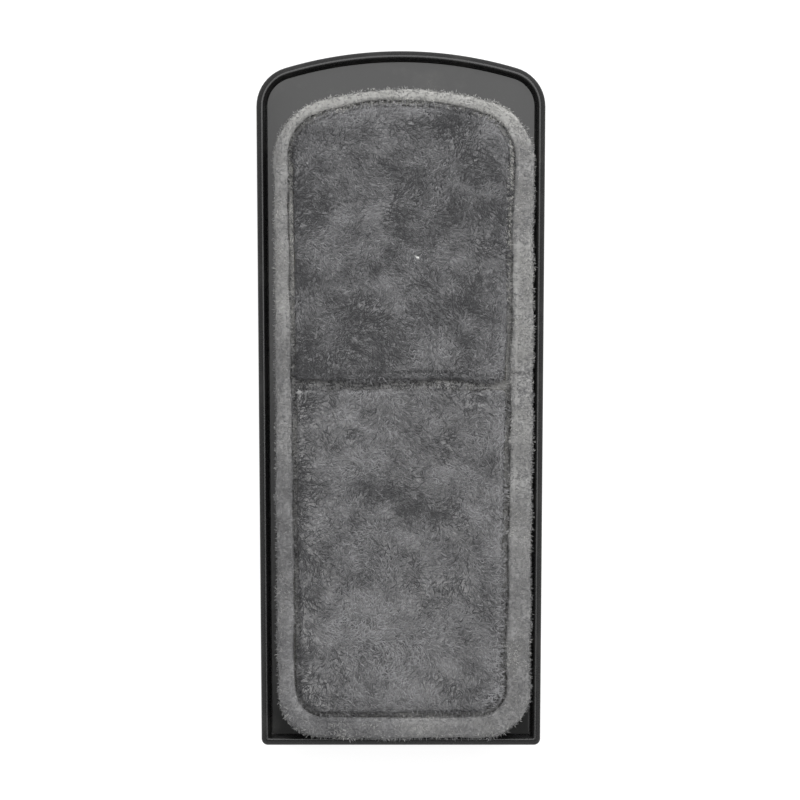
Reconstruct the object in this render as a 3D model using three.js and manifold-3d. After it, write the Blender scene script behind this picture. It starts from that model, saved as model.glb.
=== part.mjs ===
// A chalkboard eraser, in millimetres: a hollow moulded back with a rounded rim, a carrier plate set
// inside the rim, and a felt pad bonded to the plate. The pad is two thick plies with a strip of felt
// wound round them on edge, and two thinner panels on top, which leave a groove round each.
//
// Frame: +Z points out of the wiping face, +Y points to the arched end, and the origin is the middle of
// the back, which lies on z = 0. Every outline is a "tombstone": an arched end, two sides that narrow a
// little towards a flat end, and round corners.
import * as THREE from "three";
import { mergeVertices } from "three/addons/utils/BufferGeometryUtils.js";
import Module from "manifold-3d";

const wasm = await Module();
wasm.setup();

// ---------------------------------------------------------------- driving dimensions
const LENGTH = 130;
const WIDTH = 54.2;
const HEIGHT = 32;
const FIT_GAP = 0.3; // between pieces that sit inside one another
const ARC_STEPS = 5; // three.js draws each arc with twice this many edges
const PAST = 1; // how far a cutting or joining shape reaches past the face it meets

// Heights of the stack, from the back up.
const RIM_TOP = 21;
const RIM_HEIGHT = 3.2;
const PLATE_TOP = 19.6;
const PLATE_THICK = 2;
const FILM = 0.2; // every bonding film
const FACE_THICK = 1.2;
const PLY_THICK = (HEIGHT - PLATE_TOP - 3 * FILM - FACE_THICK) / 2;

// The moulded back.
const RIM_WALL = 1.65;
const RIM_ROUND = 0.8;
const BODY_INSET = 1; // the body stands in under the rim by this much
const WALL = 2.2;
const FLOOR = 2.2;
const BACK_ROUND = 3.5;
const BODY_FOOT = 4; // corner radius at the flat end, outside and inside
const HOLLOW_FOOT = 2.4;
const DRAFT = THREE.MathUtils.degToRad(3);
const RIB = 1.4;
const RIB_DROP = 6; // the ribs stop this far under the plate
const RIB_ROWS = [-58, -34, -12, 10, 32, 54];

// Outlines. halfTop is half the width at the arched end's shoulders, halfBottom at the flat end.
const shellOutline = {
  top: LENGTH / 2,
  bottom: -LENGTH / 2,
  halfTop: WIDTH / 2,
  halfBottom: 26.1,
  arch: 76,
  shoulder: 7.5,
  foot: 1.2,
  shift: 0,
};
// The felt is laid a little to one side by hand, so its outlines are shifted.
const padOutline = {
  top: 56.9,
  bottom: -62.7,
  halfTop: 23.9,
  halfBottom: 23.1,
  arch: 54,
  shoulder: 10.5,
  foot: 8.2,
  shift: 0.56,
};
const stripInside = {
  top: 55.2,
  bottom: -59.1,
  halfTop: 21.15,
  halfBottom: 19.6,
  arch: 48,
  shoulder: 8.2,
  foot: 5.5,
  shift: 0,
};
const GROOVE = 1.1; // round the two panels
const SLOT_LOW = 1.55; // the cross slot between the panels
const SLOT_HIGH = 3.3;
const BUTT_Y = 4.3; // where the two ends of the border strip meet
const BUTT_GAP = 0.3;

// Pegs under the plate, and the bosses that take them.
const PEG_RADIUS = 1.3;
const PEG_LENGTH = 8;
const BOSS_RADIUS = 3;
const PEG_X = 15;
const PEG_ROWS = [-46, 0, 42];

// Grip flutes on the long sides.
const FLUTE_RADIUS = 1.15;
const FLUTE_DEPTH = 0.45;
const FLUTE_PITCH = 3.6;
const FLUTE_COUNT = 15;
const FLUTE_MIDDLE = -4;
const FLUTE_TOP = 15.6;
const FLUTE_SIDES = 14;

// The shallow blank recess in the back, for a label or a stick-on magnet.
const RECESS = { x: 30, y: 84, depth: 0.4, corner: 4 };

// ---------------------------------------------------------------- outlines
const SMALLEST_ROUND = 0.4;

// The same outline, moved inwards by d.
function inset(o, d) {
  return {
    top: o.top - d,
    bottom: o.bottom + d,
    halfTop: o.halfTop - d,
    halfBottom: o.halfBottom - d,
    arch: o.arch - d,
    shoulder: Math.max(o.shoulder - d, SMALLEST_ROUND),
    foot: Math.max(o.foot - d, SMALLEST_ROUND),
    shift: o.shift,
  };
}

// The arched end of a path: the right shoulder, the arch and the left shoulder.
function archedEnd(path, o) {
  const archY = o.top - o.arch;
  const shoulderX = o.halfTop - o.shoulder;
  const shoulderY = archY + Math.sqrt((o.arch - o.shoulder) ** 2 - shoulderX ** 2);
  const meet = Math.atan2(shoulderY - archY, shoulderX);
  path.lineTo(o.shift + o.halfTop, shoulderY);
  path.absarc(o.shift + shoulderX, shoulderY, o.shoulder, 0, meet);
  path.absarc(o.shift, archY, o.arch, meet, Math.PI - meet);
  path.absarc(o.shift - shoulderX, shoulderY, o.shoulder, Math.PI - meet, Math.PI);
}

// The flat end of a path, from its left corner to its right one.
function flatEnd(path, o) {
  const x = o.halfBottom - o.foot;
  const y = o.bottom + o.foot;
  path.lineTo(o.shift - o.halfBottom, y);
  path.absarc(o.shift - x, y, o.foot, Math.PI, 1.5 * Math.PI);
  path.absarc(o.shift + x, y, o.foot, 1.5 * Math.PI, 2 * Math.PI);
}

function tombstone(o, path = new THREE.Shape()) {
  path.moveTo(o.shift + o.halfBottom, o.bottom + o.foot);
  archedEnd(path, o);
  flatEnd(path, o);
  return path;
}

function roundedRectangle(width, length, corner) {
  const x = width / 2 - corner;
  const y = length / 2 - corner;
  const shape = new THREE.Shape();
  shape.absarc(x, y, corner, 0, 0.5 * Math.PI);
  shape.absarc(-x, y, corner, 0.5 * Math.PI, Math.PI);
  shape.absarc(-x, -y, corner, Math.PI, 1.5 * Math.PI);
  shape.absarc(x, -y, corner, 1.5 * Math.PI, 2 * Math.PI);
  return shape;
}

// Half the width of an outline at the height y along its straight sides.
function halfWidthAt(o, y) {
  const share = (y - o.bottom) / (o.top - o.bottom);
  return THREE.MathUtils.lerp(o.halfBottom, o.halfTop, share);
}

// ---------------------------------------------------------------- solids
// A flat slab of a shape from z = low to z = high.
function slab(shape, low, high) {
  const depth = high - low;
  const flat = { depth, bevelEnabled: false, curveSegments: ARC_STEPS };
  return new THREE.ExtrudeGeometry(shape, flat).translate(0, 0, low);
}

// A slab whose edges are rounded, inside the shape and between the two heights.
function softSlab(shape, low, high, round, segments) {
  const rounded = {
    depth: high - low - 2 * round,
    bevelThickness: round,
    bevelSize: round,
    bevelOffset: -round,
    bevelSegments: segments,
    curveSegments: ARC_STEPS,
  };
  return new THREE.ExtrudeGeometry(shape, rounded).translate(0, 0, low + round);
}

// Narrows a geometry towards the back, as a mould's draft does. It keeps its size at z = full.
function draft(geometry, full) {
  const place = geometry.getAttribute("position");
  for (let i = 0; i < place.count; i++) {
    const narrowing = (full - place.getZ(i)) * Math.tan(DRAFT);
    place.setX(i, place.getX(i) * (1 - narrowing / (WIDTH / 2)));
    place.setY(i, place.getY(i) * (1 - narrowing / (LENGTH / 2)));
  }
  return geometry;
}

function solid(geometry) {
  const bare = new THREE.BufferGeometry();
  bare.setAttribute("position", geometry.getAttribute("position"));
  if (geometry.index) bare.setIndex(geometry.index);
  const merged = mergeVertices(bare, 1e-4);
  return new wasm.Manifold(
    new wasm.Mesh({
      numProp: 3,
      vertProperties: new Float32Array(merged.attributes.position.array),
      triVerts: new Uint32Array(merged.index.array),
    }),
  );
}

function geometryOf(manifold) {
  const { vertProperties, triVerts } = manifold.getMesh();
  const indexed = new THREE.BufferGeometry();
  indexed.setAttribute("position", new THREE.BufferAttribute(vertProperties, 3));
  indexed.setIndex(new THREE.BufferAttribute(triVerts, 1));
  const geometry = indexed.toNonIndexed();
  geometry.computeVertexNormals();
  return geometry;
}

// An upright cylinder from z = low to z = high.
function post(radius, x, y, low, high, sides = 20) {
  return new THREE.CylinderGeometry(radius, radius, high - low, sides)
    .rotateX(Math.PI / 2)
    .translate(x, y, (low + high) / 2);
}

function box(x, y, low, high) {
  return new THREE.BoxGeometry(x, y, high - low).translate(0, 0, (low + high) / 2);
}

const pegPlaces = PEG_ROWS.flatMap((y) => [-PEG_X, PEG_X].map((x) => [x, y]));

// ---------------------------------------------------------------- the moulded back
// The outside of the body: drafted sides, and a rounded edge round the back.
function bodyOutside() {
  const under = RIM_TOP - RIM_HEIGHT;
  const shape = tombstone({ ...inset(shellOutline, BODY_INSET), foot: BODY_FOOT });
  const full = draft(softSlab(shape, 0, under + 2 * BACK_ROUND, BACK_ROUND, 5), under);
  return solid(full).intersect(solid(box(2 * WIDTH, 2 * LENGTH, -PAST, under + RIM_ROUND)));
}

// The rim: a ring with a round top.
function rim() {
  const shape = tombstone(shellOutline);
  shape.holes.push(tombstone(inset(shellOutline, RIM_WALL), new THREE.Path()));
  return solid(softSlab(shape, RIM_TOP - RIM_HEIGHT, RIM_TOP, RIM_ROUND, 4));
}

// The hollow inside, up to the ledge that the plate lies on.
function hollow(ledge) {
  const shape = tombstone({ ...inset(shellOutline, BODY_INSET + WALL), foot: HOLLOW_FOOT });
  return solid(draft(slab(shape, FLOOR, ledge), ledge));
}

// Stiffening ribs and peg bosses, inside the hollow.
function ribsAndBosses(ledge) {
  const low = FLOOR - PAST;
  let inside = solid(box(RIB, LENGTH, low, ledge - RIB_DROP));
  for (const y of RIB_ROWS) {
    inside = inside.add(solid(box(WIDTH, RIB, low, ledge - RIB_DROP).translate(0, y, 0)));
  }
  for (const [x, y] of pegPlaces) {
    inside = inside.add(solid(post(BOSS_RADIUS, x, y, low, ledge - FIT_GAP)));
  }
  return inside;
}

function pegHoles(ledge) {
  const low = ledge - PEG_LENGTH - FIT_GAP;
  return pegPlaces.map(([x, y]) => solid(post(PEG_RADIUS + FIT_GAP, x, y, low, ledge + PAST)));
}

// Upright grip flutes that follow the draft of one long side (side is 1 or -1).
function flutes(side) {
  const under = RIM_TOP - RIM_HEIGHT;
  const first = FLUTE_MIDDLE - ((FLUTE_COUNT - 1) * FLUTE_PITCH) / 2;
  return Array.from({ length: FLUTE_COUNT }, (_, i) => {
    const y = first + i * FLUTE_PITCH;
    const wall = halfWidthAt(shellOutline, y) - BODY_INSET;
    const cutter = post(FLUTE_RADIUS, 0, 0, -under, FLUTE_TOP - under, FLUTE_SIDES)
      .rotateY(side * DRAFT)
      .translate(side * (wall + FLUTE_RADIUS - FLUTE_DEPTH), y, under);
    return solid(cutter);
  });
}

function backShell() {
  const ledge = PLATE_TOP - PLATE_THICK;
  const pocket = slab(tombstone(inset(shellOutline, RIM_WALL)), ledge, RIM_TOP + PAST);
  const recess = slab(roundedRectangle(RECESS.x, RECESS.y, RECESS.corner), -PAST, RECESS.depth);
  const cavity = hollow(ledge + PAST);
  let shell = bodyOutside().subtract(solid(pocket)).subtract(cavity);
  shell = shell.add(ribsAndBosses(ledge).intersect(cavity)).add(rim());
  const cuts = [...pegHoles(ledge), ...flutes(1), ...flutes(-1), solid(recess)];
  return geometryOf(cuts.reduce((left, cut) => left.subtract(cut), shell));
}

function carrierPlate() {
  const low = PLATE_TOP - PLATE_THICK;
  const shape = tombstone(inset(shellOutline, RIM_WALL + FIT_GAP));
  let plate = solid(softSlab(shape, low, PLATE_TOP, FIT_GAP, 2));
  for (const [x, y] of pegPlaces) {
    plate = plate.add(solid(post(PEG_RADIUS, x, y, low - PEG_LENGTH, low + PAST)));
  }
  return geometryOf(plate);
}

// ---------------------------------------------------------------- the pad
const plyOutline = inset(stripInside, FILM);
const panelOutline = inset(stripInside, GROOVE);

function ring(outer, inner) {
  const shape = tombstone(outer);
  shape.holes.push(tombstone(inner, new THREE.Path()));
  return shape;
}

// The panel at the arched end, down to the cross slot.
function archedPanelShape() {
  const o = panelOutline;
  const half = halfWidthAt(o, SLOT_HIGH);
  const shape = new THREE.Shape();
  shape.moveTo(o.shift - half, SLOT_HIGH);
  shape.lineTo(o.shift + half, SLOT_HIGH);
  archedEnd(shape, o);
  return shape;
}

// The panel at the flat end, up to the cross slot.
function squarePanelShape() {
  const o = panelOutline;
  const half = halfWidthAt(o, SLOT_LOW);
  const shape = new THREE.Shape();
  shape.moveTo(o.shift + half, SLOT_LOW);
  shape.lineTo(o.shift - half, SLOT_LOW);
  flatEnd(shape, o);
  return shape;
}

// One strip on edge, wound once round the plies, so a small gap is left where its ends meet.
function borderStrip(low, high) {
  const wound = solid(slab(ring(padOutline, stripInside), low, high));
  const gap = new THREE.BoxGeometry(WIDTH, BUTT_GAP, 2 * HEIGHT).translate(WIDTH / 2, BUTT_Y, 0);
  return geometryOf(wound.subtract(solid(gap)));
}

// ---------------------------------------------------------------- materials and the assembly
function material(color, roughness) {
  return new THREE.MeshStandardMaterial({ color, roughness, metalness: 0 });
}

const blackPlastic = material(0x262626, 0.45);
const plateBlack = material(0x2b2b2b, 0.5);
const panelFelt = material(0x646466, 1);
const stripFelt = material(0x7c7c7e, 1);
const plyFelt = material(0x585859, 1);
const adhesive = material(0xb9b39c, 0.6);

const eraser = new THREE.Group();
const pad = new THREE.Group();
pad.position.z = PLATE_TOP;
eraser.add(pad);

function place(group, name, geometry, look) {
  const mesh = new THREE.Mesh(geometry, look);
  mesh.name = name;
  group.add(mesh);
}

place(eraser, "back_shell", backShell(), blackPlastic);
place(eraser, "carrier_plate", carrierPlate(), plateBlack);

// Heights in the pad, from the plate up.
const innerPly = FILM;
const middleFilm = innerPly + PLY_THICK;
const outerPly = middleFilm + FILM;
const panelFilm = outerPly + PLY_THICK;
const panels = panelFilm + FILM;
const padTop = panels + FACE_THICK;

const plies = tombstone(plyOutline);
place(pad, "pad_bonding_film", slab(tombstone(inset(padOutline, FILM)), 0, innerPly), adhesive);
place(pad, "felt_ply_inner", slab(plies, innerPly, middleFilm), plyFelt);
place(pad, "ply_bonding_film", slab(plies, middleFilm, outerPly), adhesive);
place(pad, "felt_ply_outer", slab(plies, outerPly, panelFilm), plyFelt);
place(pad, "strip_bonding_film", slab(ring(stripInside, plyOutline), innerPly, panelFilm), adhesive);
place(pad, "felt_border_strip", borderStrip(innerPly, padTop), stripFelt);
for (const [end, shape] of [["arched", archedPanelShape()], ["square", squarePanelShape()]]) {
  place(pad, `${end}_panel_bonding_film`, slab(shape, panelFilm, panels), adhesive);
  place(pad, `felt_panel_${end}`, slab(shape, panels, padTop), panelFelt);
}

export default eraser;
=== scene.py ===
"""The looks of a chalkboard eraser, laid out as a Blender add-on.

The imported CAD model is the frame: it fixes every place and size. The eraser lies on its back, +Z points out
of the wiping face and +Y to the arched end. Lengths are in metres, and MM turns millimetres into them.
"""

import math
from typing import NamedTuple

import bmesh
import bpy
import numpy as np
from bpy.props import FloatProperty, FloatVectorProperty, IntProperty, PointerProperty
from mathutils import Matrix, Vector, noise
from mathutils.bvhtree import BVHTree


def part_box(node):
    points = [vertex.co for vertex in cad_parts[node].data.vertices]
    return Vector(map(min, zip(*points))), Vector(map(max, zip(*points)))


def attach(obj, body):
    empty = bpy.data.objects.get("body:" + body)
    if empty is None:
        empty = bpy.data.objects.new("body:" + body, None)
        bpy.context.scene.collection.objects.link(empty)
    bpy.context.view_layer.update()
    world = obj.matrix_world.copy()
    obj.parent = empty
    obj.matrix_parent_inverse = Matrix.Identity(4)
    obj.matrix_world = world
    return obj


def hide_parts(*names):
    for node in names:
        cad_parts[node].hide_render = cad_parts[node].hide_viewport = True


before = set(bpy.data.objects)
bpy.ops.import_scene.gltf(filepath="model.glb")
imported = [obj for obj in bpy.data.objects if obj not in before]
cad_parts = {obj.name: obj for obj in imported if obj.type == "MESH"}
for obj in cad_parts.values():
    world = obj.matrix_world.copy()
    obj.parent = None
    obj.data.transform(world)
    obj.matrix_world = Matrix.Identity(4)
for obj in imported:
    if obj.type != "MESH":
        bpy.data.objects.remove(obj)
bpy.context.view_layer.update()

bl_info = {
    "name": "Chalkboard Eraser",
    "version": (1, 0, 0),
    "blender": (4, 5, 0),
    "location": "View3D > Sidebar > Eraser",
    "description": "Builds a chalkboard eraser with a moulded back and a layered felt pad",
    "category": "Add Mesh",
}

MM = 0.001
SHELL_LOW, SHELL_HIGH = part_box("back_shell")
PLATE_LOW, PLATE_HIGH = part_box("carrier_plate")
STRIP_LOW, STRIP_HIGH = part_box("felt_border_strip")
PLY_LOW, PLY_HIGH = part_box("felt_ply_outer")
ARCHED_LOW, ARCHED_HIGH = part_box("felt_panel_arched")
SQUARE_LOW, SQUARE_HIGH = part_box("felt_panel_square")


# ---------------------------------------------------------------- settings
def length_setting(name, about, default):
    """A setting that is a length in metres."""
    return FloatProperty(name=name, description=about, default=default, unit="LENGTH")


def colour_setting(name, about, default):
    """A setting that is a colour."""
    return FloatVectorProperty(name=name, description=about, default=default, subtype="COLOR")


def count_setting(name, about, default):
    """A setting that is a number of fibres."""
    return IntProperty(name=name, description=about, default=default)


class EraserShellSettings(bpy.types.PropertyGroup):
    """The moulded back and the plate."""

    rim_width: length_setting("Rim width", "Width of the raised rim", 1.65 * MM)
    rim_height: length_setting("Rim height", "Height of the rim's side", 3.2 * MM)
    body_inset: length_setting("Body inset", "How far the body stands in under the rim", 1 * MM)
    back_round: length_setting("Back round", "Radius of the edge round the back", 3.5 * MM)
    draft: FloatProperty(
        name="Draft", description="Slope of the body's sides", default=math.radians(3), unit="ROTATION"
    )
    plastic: colour_setting("Plastic", "Colour of the moulded plastic", (0.0108, 0.0108, 0.011))
    plate: colour_setting("Plate", "Colour of the carrier plate", (0.0118, 0.012, 0.0117))
    chalk: colour_setting("Chalk", "Colour of chalk dust", (0.62, 0.61, 0.57))


class EraserFeltSettings(bpy.types.PropertyGroup):
    """The felt pad."""

    voxel: length_setting("Voxel", "Grain of the felt's surface", 0.28 * MM)
    roll_off: length_setting("Roll-off", "Width over which a panel's edge curves down", 1.15 * MM)
    lumps: length_setting("Lumps", "Height of the felt's lumps", 0.16 * MM)
    wisps: count_setting("Wisps", "Matted wisps on each panel", 12500)
    hairs: count_setting("Hairs", "Loose hairs on each panel", 8500)
    fuzz: count_setting("Fuzz", "Hairs on the border strip's top", 13500)
    wall_fuzz: count_setting("Wall fuzz", "Hairs on the border strip's sides", 12500)
    groove_hairs: count_setting("Groove hairs", "Hairs in the grooves", 7000)
    dark: colour_setting("Dark felt", "Felt between the wisps", (0.062, 0.062, 0.0645))
    pale: colour_setting("Pale felt", "Wisps on the felt", (0.26, 0.26, 0.266))
    soft: colour_setting("Soft felt", "Fuzz on the border strip", (0.17, 0.17, 0.174))
    # Also the pale end of the painted light towards the arched end.
    chalky_and_lit: colour_setting("Chalky felt", "Felt with chalk in it", (0.56, 0.555, 0.53))


class EraserStudioSettings(bpy.types.PropertyGroup):
    """The stage."""

    lens: FloatProperty(name="Lens", description="The camera's focal length, in millimetres", default=180)
    soft_power: FloatProperty(name="Softbox", description="Power of the large light, in watts", default=24.5)
    key_power: FloatProperty(name="Key", description="Power of the key light, in watts", default=2.5)


# ---------------------------------------------------------------- outlines
class Outline(NamedTuple):
    """An arched end, two sides and a flat end, with round corners."""

    top: float
    bottom: float
    half_top: float
    half_bottom: float
    arch: float
    shoulder: float
    foot: float
    shift: float = 0

    def inset(self, distance):
        """The same outline, moved inwards."""
        least = 0.3 * MM
        return Outline(
            self.top - distance,
            self.bottom + distance,
            self.half_top - distance,
            self.half_bottom - distance,
            self.arch - distance,
            max(self.shoulder - distance, least),
            max(self.foot - distance, least),
            self.shift,
        )

    def half_at(self, y):
        """Half the width at the height y, along the straight sides."""
        share = (y - self.bottom) / (self.top - self.bottom)
        return self.half_bottom + (self.half_top - self.half_bottom) * share

    def points(self, side=64, corner=10, arch=40, end=32):
        """The outline as (x, y) points, anticlockwise from the flat end's right corner."""
        arch_y = self.top - self.arch
        shoulder_x = self.half_top - self.shoulder
        shoulder_y = arch_y + math.sqrt((self.arch - self.shoulder) ** 2 - shoulder_x**2)
        meet = math.atan2(shoulder_y - arch_y, shoulder_x)
        foot_x = self.half_bottom - self.foot
        foot_y = self.bottom + self.foot
        right = line((self.half_bottom, foot_y), (self.half_top, shoulder_y), side)
        right += arc(shoulder_x, shoulder_y, self.shoulder, 0, meet, corner)
        over = arc(0, arch_y, self.arch, meet, math.pi - meet, arch)
        left = arc(-shoulder_x, shoulder_y, self.shoulder, math.pi - meet, math.pi, corner)
        left += line((-self.half_top, shoulder_y), (-self.half_bottom, foot_y), side)
        under = arc(-foot_x, foot_y, self.foot, math.pi, 1.5 * math.pi, corner)
        under += line((-foot_x, self.bottom), (foot_x, self.bottom), end)
        under += arc(foot_x, foot_y, self.foot, 1.5 * math.pi, 2 * math.pi, corner)
        return [(x + self.shift, y) for x, y in right + over + left + under]


def line(start, end, steps):
    """Points along a straight line, without its last one."""
    (x, y), (end_x, end_y) = start, end
    return [(x + (end_x - x) * i / steps, y + (end_y - y) * i / steps) for i in range(steps)]


def arc(x, y, radius, start, end, steps):
    """Points along an arc, without its last one."""
    angles = [start + (end - start) * i / steps for i in range(steps)]
    return [(x + radius * math.cos(a), y + radius * math.sin(a)) for a in angles]


def outline_in(low, high, **rest):
    """An outline that fills a CAD box from side to side and end to end."""
    half = (high.x - low.x) / 2
    return Outline(top=high.y, bottom=low.y, half_top=half, shift=(high.x + low.x) / 2, **rest)


SHELL = outline_in(
    SHELL_LOW, SHELL_HIGH, half_bottom=26.1 * MM, arch=76 * MM, shoulder=7.5 * MM, foot=1.2 * MM
)
PLATE = outline_in(
    PLATE_LOW, PLATE_HIGH, half_bottom=24.15 * MM, arch=74 * MM, shoulder=5.5 * MM, foot=0.6 * MM
)
PAD = outline_in(
    STRIP_LOW, STRIP_HIGH, half_bottom=23.1 * MM, arch=54 * MM, shoulder=10.5 * MM, foot=8.2 * MM
)
PLY = outline_in(
    PLY_LOW, PLY_HIGH, half_bottom=19.4 * MM, arch=47.8 * MM, shoulder=8 * MM, foot=5.3 * MM
)
STRIP_INSIDE = PLY.inset(-0.06 * MM)
SLOT_CORNER = 0.9 * MM
ARCHED_PANEL = outline_in(
    ARCHED_LOW, ARCHED_HIGH, half_bottom=19.35 * MM, arch=46.9 * MM, shoulder=7.1 * MM, foot=SLOT_CORNER
)
NEARLY_FLAT = 4.0
SQUARE_PANEL = outline_in(
    SQUARE_LOW, SQUARE_HIGH, half_bottom=18.5 * MM, arch=NEARLY_FLAT, shoulder=SLOT_CORNER, foot=4.4 * MM
)


# ---------------------------------------------------------------- mesh helpers
def loft(bm, rings, closed=False):
    """Joins rings of (x, y, z) points with faces, one to the next, and returns their loops of edges.

    The rings are joined a metre apart, then brought to their heights, because rings in one plane may join with
    a twist.
    """
    loops, heights = [], []
    for step, ring in enumerate(rings):
        verts = [bm.verts.new((x, y, step)) for x, y, _ in ring]
        heights += zip(verts, (z for _, _, z in ring))
        loops.append([bm.edges.new(pair) for pair in zip(verts, verts[1:] + verts[:1])])
    following = loops[1:] + loops[:1] if closed else loops[1:]
    for low, high in zip(loops, following):
        bmesh.ops.bridge_loops(bm, edges=low + high)
    for vert, z in heights:
        vert.co.z = z
    return loops


def raise_ring(points, z):
    """Flat points, lifted to z."""
    return [(x, y, z) for x, y in points]


def quarter(count):
    """(sine, cosine) pairs over a quarter turn, both ends included."""
    angles = [0.5 * math.pi * i / count for i in range(count + 1)]
    return [(math.sin(a), math.cos(a)) for a in angles]


def to_piece(bm, name, material, sharp=math.radians(35)):
    """Turns a bmesh into a smooth-shaded piece whose edges over the angle sharp stay crisp."""
    bmesh.ops.remove_doubles(bm, verts=bm.verts[:], dist=1e-6)
    bmesh.ops.recalc_face_normals(bm, faces=bm.faces[:])
    for face in bm.faces:
        face.smooth = True
    for edge in bm.edges:
        edge.smooth = edge.calc_face_angle(0) < sharp
    mesh = bpy.data.meshes.new(name)
    bm.to_mesh(mesh)
    bm.free()
    piece = bpy.data.objects.new(name, mesh)
    bpy.context.scene.collection.objects.link(piece)
    piece.data.materials.append(material)
    return piece


def settle(piece, slot, *nodes):
    """Puts a piece on the one body, in place of the CAD nodes that it stands for. The slot argument is not
    used.
    """
    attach(piece, "root")
    if nodes:
        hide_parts(*nodes)
    return piece


# ---------------------------------------------------------------- shader helpers
class Value:
    """One node output. Arithmetic on it adds Math nodes."""

    def __init__(self, look, socket):
        self.look = look
        self.socket = socket

    def math(self, operation, *terms):
        """A Math node on these terms."""
        return self.look.node("ShaderNodeMath", {"operation": operation}, dict(enumerate(terms)))

    def __add__(self, other):
        return self.math("ADD", self, other)

    def __sub__(self, other):
        return self.math("SUBTRACT", self, other)

    def __rsub__(self, other):
        return self.math("SUBTRACT", other, self)

    def __mul__(self, other):
        return self.math("MULTIPLY", self, other)

    def most(self, other):
        """The larger of two values."""
        return self.math("MAXIMUM", self, other)

    def clamp(self):
        """The value, kept between 0 and 1."""
        return self.look.node("ShaderNodeClamp", {}, {"Value": self})

    def between(self, low, high):
        """A smooth rise from 0 at low to 1 at high."""
        wanted = {"Value": self, "From Min": low, "From Max": high}
        return self.look.node("ShaderNodeMapRange", {"interpolation_type": "SMOOTHSTEP"}, wanted)


class Look:
    """The nodes of a material or of the world."""

    def __init__(self, owner):
        self.owner = owner
        owner.use_nodes = True
        self.tree = owner.node_tree
        self.tree.nodes.clear()

    @classmethod
    def new(cls, name):
        """The look of a new material."""
        return cls(bpy.data.materials.new(name))

    def node(self, kind, settings, inputs, output=0):
        """Adds a node, sets it up, fills its sockets with numbers or links, and returns one output."""
        made = self.tree.nodes.new(kind)
        for name, setting in settings.items():
            setattr(made, name, setting)
        for key, given in inputs.items():
            if isinstance(given, Value):
                self.tree.links.new(given.socket, made.inputs[key])
            else:
                made.inputs[key].default_value = given
        return None if output is None else Value(self, made.outputs[output])

    def place(self):
        """Object coordinates, in millimetres."""
        metres = self.node("ShaderNodeTexCoord", {}, {}, "Object")
        return self.node("ShaderNodeVectorMath", {"operation": "SCALE"}, {0: metres, "Scale": 1 / MM})

    def axis(self, place, name):
        """One coordinate of a place."""
        return self.node("ShaderNodeSeparateXYZ", {}, {"Vector": place}, name)

    def turned(self, place, angle, stretch):
        """A place turned about Z, then divided by the lengths in stretch."""
        scale = [1 / length for length in stretch]
        turn = {"Vector": place, "Rotation": (0, 0, angle)}
        spun = self.node("ShaderNodeMapping", {"vector_type": "POINT"}, turn)
        return self.node("ShaderNodeMapping", {"vector_type": "POINT"}, {"Vector": spun, "Scale": scale})

    def noise(self, place, size, detail=2.0, rough=0.5, output="Fac"):
        """Noise whose blobs are about size millimetres across."""
        wanted = {"Vector": place, "Scale": 1 / size, "Detail": detail, "Roughness": rough}
        return self.node("ShaderNodeTexNoise", {}, wanted, output)

    def mix(self, share, low, high):
        """A blend of two colours."""
        inputs = {"Factor": share, 6: rgba(low), 7: rgba(high)}
        return self.node("ShaderNodeMix", {"data_type": "RGBA"}, inputs, 2)

    def bump(self, height, distance, strength=1.0):
        """A normal bent by a height between 0 and 1."""
        return self.node("ShaderNodeBump", {}, {"Height": height, "Distance": distance, "Strength": strength})

    def surface(self, **inputs):
        """The Principled shader, as the material's surface. An underscore in a name stands for a space."""
        named = {name.replace("_", " "): given for name, given in inputs.items()}
        shader = self.node("ShaderNodeBsdfPrincipled", {}, named)
        self.node("ShaderNodeOutputMaterial", {}, {"Surface": shader}, None)
        return self.owner


def rgba(colour):
    """A colour with full alpha, or a link as it is."""
    return colour if isinstance(colour, Value) else (*colour, 1.0)


def moulded_plastic(name, base, chalk, roughness, gloss, dust):
    """Satin black plastic: a fine moulded grain, faint flow marks, and chalk dust settled in smudges."""
    look = Look.new(name)
    place = look.place()
    grain = look.noise(place, 0.22, 3)
    flow = look.noise(look.turned(place, 0.1, (9, 30, 9)), 1, 2)
    smudge = look.noise(place, 7, 4, 0.6).between(0.5, 0.78)
    specks = look.noise(place, 0.35, 2).between(0.68, 0.76)
    powder = (smudge * dust + specks * dust * 0.6).clamp()
    return look.surface(
        Base_Color=look.mix(powder, base, chalk),
        Roughness=(grain * 0.08 + flow * 0.06 + powder * 1.5 + (roughness - 0.07)).clamp(),
        Normal=look.bump(grain, 0.012 * MM, 0.6),
        Specular_IOR_Level=gloss,
    )


def felt_pattern(look, place):
    """(share of pale wisps, height) over felt: short fibres that cross in every direction and swirl."""
    swirl = look.noise(place, 9, 2, output="Color")
    centred = look.node("ShaderNodeVectorMath", {"operation": "SUBTRACT"}, {0: swirl, 1: (0.5, 0.5, 0.5)})
    drift = look.node("ShaderNodeVectorMath", {"operation": "SCALE"}, {0: centred, "Scale": 9.0})
    bent = look.node("ShaderNodeVectorMath", {"operation": "ADD"}, {0: place, 1: drift})
    wisps = 0.0
    for turn in (0.3, 1.35, 2.4):
        strands = look.noise(look.turned(bent, turn, (0.24, 1.5, 1.5)), 1, 3, 0.6)
        layer = strands.between(0.5, 0.74)
        wisps = layer if wisps == 0.0 else layer.most(wisps)
    mottle = look.noise(place, 2.6, 3, 0.6)
    fine = look.noise(place, 0.3, 2)
    share = wisps * 0.5 + (mottle - 0.5) * 0.9 + (fine - 0.5) * 0.5 + 0.18
    return share, wisps * 0.6 + fine * 0.4


def chalk_and_light_along(x, y, rise):
    """Share of the chalky colour in the border strip at x, y millimetres, which is partly chalk dust and
    partly painted light: it grows towards the arched end, the arched end itself has the most, and the right
    side has more than the left. rise(value, low, high) goes from 0 at low to 1 at high."""
    right = rise(x, -2, 2) * (1 - rise(y, 10, 45))
    return rise(y, -50, 40) * 0.2 + rise(y, 44, 56) * 0.29 + right * 0.12


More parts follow.
